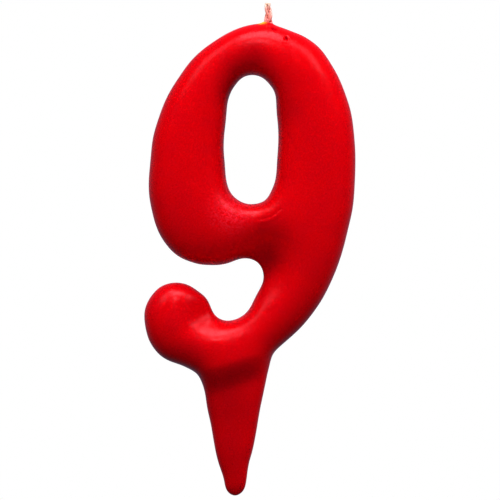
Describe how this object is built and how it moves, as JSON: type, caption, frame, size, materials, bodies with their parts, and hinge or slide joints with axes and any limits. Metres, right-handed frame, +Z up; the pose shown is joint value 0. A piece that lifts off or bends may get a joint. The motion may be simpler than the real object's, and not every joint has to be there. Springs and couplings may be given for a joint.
{
  "type": "number birthday candle",
  "caption": "Numeral nine cake candle of pale wax dipped in glossy red wax, with a pointed stake below and a plaited cotton wick that bends where it leaves the wax.",
  "frame": {"origin": "on the candle's flat back, on the stake's axis, at the level of the cake's top", "axes": "+Z up along the stake's axis, +X to the right as the numeral reads, +Y out of the flat back, so the domed front faces -Y"},
  "size_m": [0.0422, 0.0117, 0.0984],
  "materials": {
    "red_wax": "glossy dipped wax",
    "pale_wax": "satin paraffin wax",
    "wick_cotton": "waxed plaited cotton"
  },
  "bodies": {
    "candle": {"red_dip_coat": "red_wax", "wax_core": "pale_wax", "wick_yarn_a_in_wax": "wick_cotton", "wick_yarn_b_in_wax": "wick_cotton", "wick_yarn_c_in_wax": "wick_cotton"},
    "wick_free_end": {"wick_yarn_a_free_end": "wick_cotton", "wick_yarn_b_free_end": "wick_cotton", "wick_yarn_c_free_end": "wick_cotton"}
  },
  "joints": [
    {"name": "wick_bend", "type": "hinge", "parent": "candle", "child": "wick_free_end", "pos_m": [0.0069, -0.005, 0.07125], "axis": [0, 1, 0], "range_deg": [-60, 60]}
  ]
}
